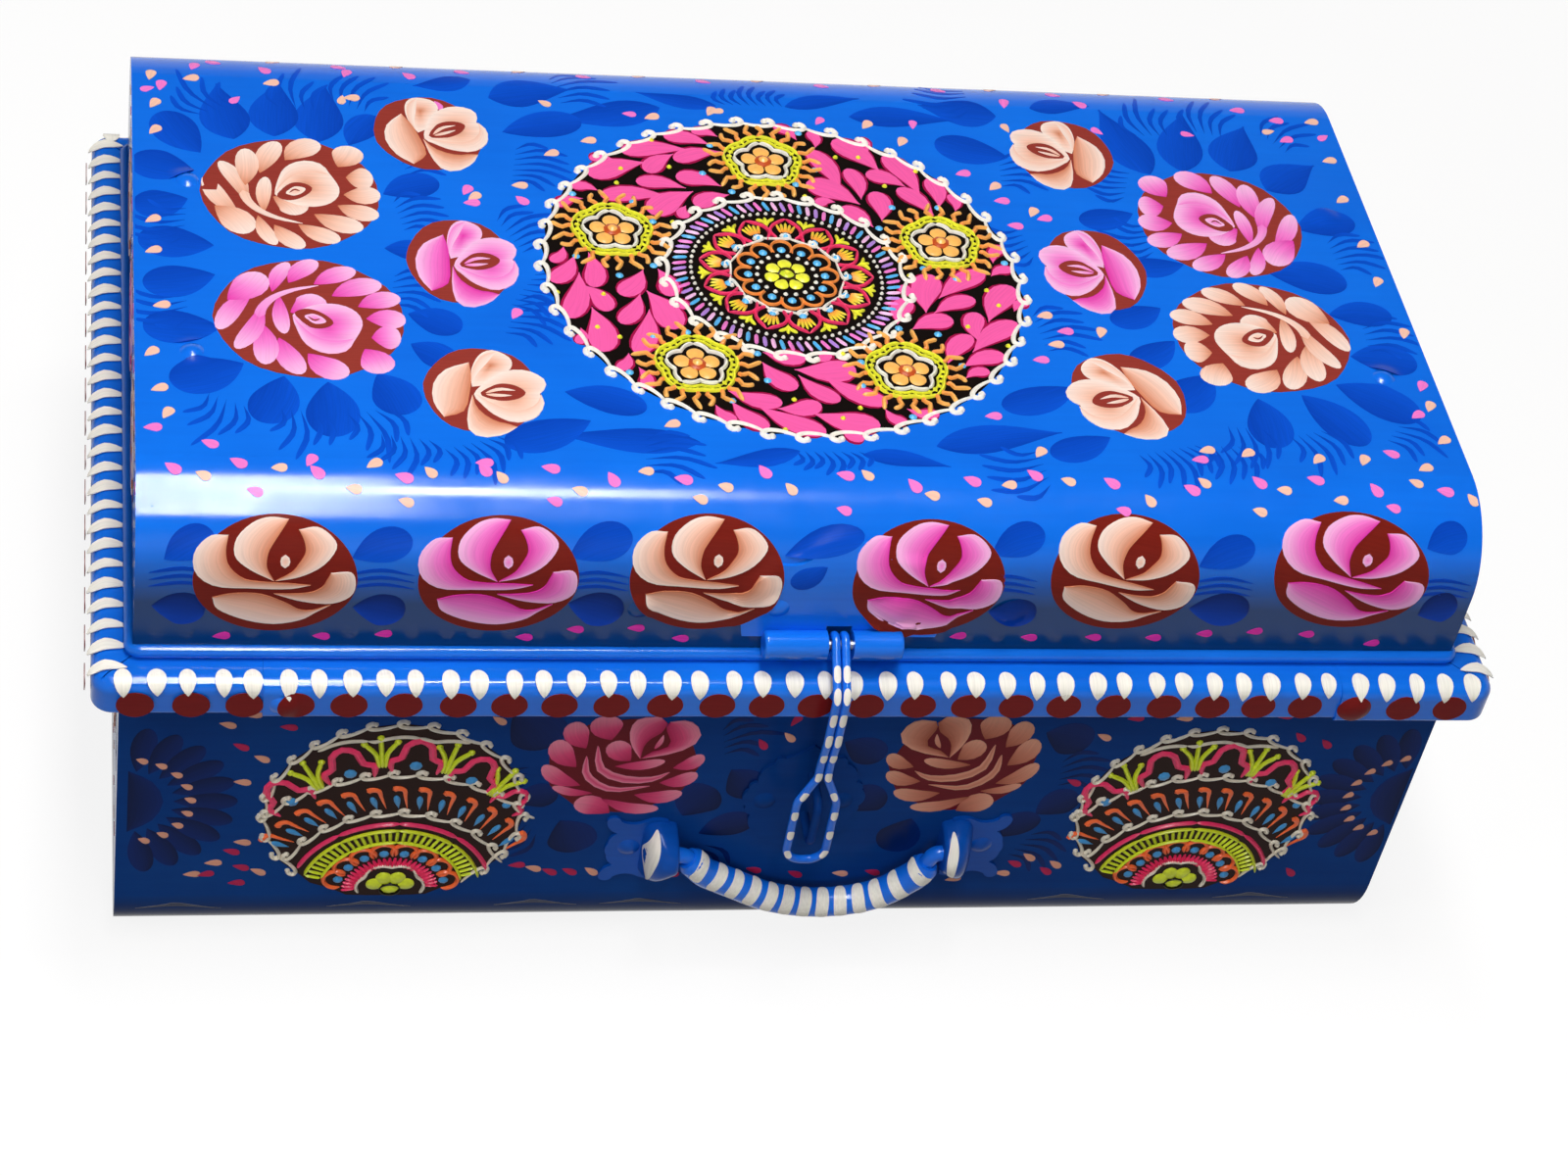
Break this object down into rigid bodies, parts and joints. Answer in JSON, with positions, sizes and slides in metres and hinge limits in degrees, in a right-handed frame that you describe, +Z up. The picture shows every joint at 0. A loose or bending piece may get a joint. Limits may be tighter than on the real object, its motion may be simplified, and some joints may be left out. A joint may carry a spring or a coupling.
{
  "type": "painted sheet steel trunk",
  "caption": "Small sheet-steel trunk in glossy blue enamel with painted roses and relief rosettes, a rounded lid, a hanging wire hasp over a staple, and a drop handle on the front.",
  "frame": {"origin": "centre of the flat underside of the body, on the surface that the trunk stands on", "axes": "+X to the right along the length, +Y to the back where the hinges are, +Z up"},
  "size_m": [0.4051, 0.2541, 0.1778],
  "materials": {
    "body_enamel": "glossy blue enamel",
    "lid_enamel": "glossy blue enamel",
    "rim_enamel": "glossy blue enamel",
    "fitting_enamel": "glossy blue enamel over bent wire and pressed plate",
    "hinge_enamel": "glossy blue enamel",
    "rivet_enamel": "glossy blue enamel",
    "bare_steel": "plain steel"
  },
  "bodies": {
    "box": {"body_wrap": "body_enamel", "left_end_panel": "body_enamel", "right_end_panel": "body_enamel", "rim_front": "rim_enamel", "rim_back": "rim_enamel", "rim_left": "rim_enamel", "rim_right": "rim_enamel", "lock_plate": "fitting_enamel", "lock_staple": "fitting_enamel", "handle_left_ear": "fitting_enamel", "handle_right_ear": "fitting_enamel", "hinge_base_leaves": "hinge_enamel", "rim_rivets": "rivet_enamel", "lock_plate_rivets": "rivet_enamel", "handle_ear_rivets": "rivet_enamel", "hinge_base_rivets": "rivet_enamel", "hinge_pins": "bare_steel"},
    "lid": {"lid_wrap": "lid_enamel", "lid_left_end": "lid_enamel", "lid_right_end": "lid_enamel", "lid_bead": "lid_enamel", "lid_bead_wire": "bare_steel", "lid_end_rivets": "rivet_enamel", "lid_front_rivets": "rivet_enamel", "lid_front_strap": "bare_steel", "hasp_plate": "fitting_enamel", "hasp_plate_rivets": "rivet_enamel", "hasp_pin": "fitting_enamel", "hinge_lid_leaves": "hinge_enamel", "hinge_lid_rivets": "rivet_enamel"},
    "hasp": {"hasp_link": "fitting_enamel"},
    "handle": {"handle_wire": "fitting_enamel", "handle_grip": "fitting_enamel"}
  },
  "joints": [
    {"name": "lid_hinge", "type": "hinge", "parent": "box", "child": "lid", "pos_m": [0, 0.115, 0.1278], "axis": [-1, 0, 0], "range_deg": [0, 120]},
    {"name": "hasp_swing", "type": "hinge", "parent": "lid", "child": "hasp", "pos_m": [0.0046, -0.1142, 0.1353], "axis": [-1, 0, 0], "range_deg": [-9, 110]},
    {"name": "handle_swing", "type": "hinge", "parent": "box", "child": "handle", "pos_m": [0.0094, -0.1179, 0.0495], "axis": [-1, 0, 0], "range_deg": [0, 120]}
  ]
}
